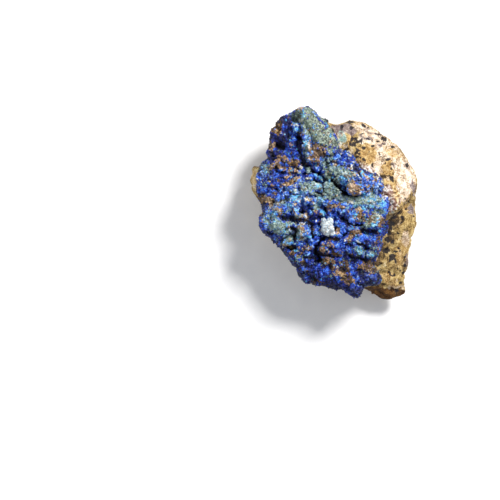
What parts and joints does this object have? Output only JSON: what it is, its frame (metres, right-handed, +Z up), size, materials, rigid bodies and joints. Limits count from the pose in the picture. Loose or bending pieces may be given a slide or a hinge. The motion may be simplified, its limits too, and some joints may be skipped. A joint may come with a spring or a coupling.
{
  "type": "azurite specimen",
  "caption": "Loose mineral specimen: a knobbly crust of azurite and malachite with a small white crystal cluster, grown on a broken piece of spotted ochre rock.",
  "frame": {"origin": "middle of the bounding box in plan, on the surface that the rock's back rests on", "axes": "+X across the specimen towards the bare rock, +Y along it towards the malachite slab, +Z up out of the crust"},
  "size_m": [0.0303, 0.0347, 0.0184],
  "materials": {
    "ochre_rock": "broken ochre and cream rock with black manganese spots, matt",
    "azurite": "granular deep blue azurite with grey-green malachite and orange-brown limonite, matt to glinting",
    "white_mineral": "sugary white crystals, satin"
  },
  "bodies": {
    "root": {"host_rock": "ochre_rock", "azurite_crust": "azurite", "white_crystals": "white_mineral"}
  },
  "joints": []
}
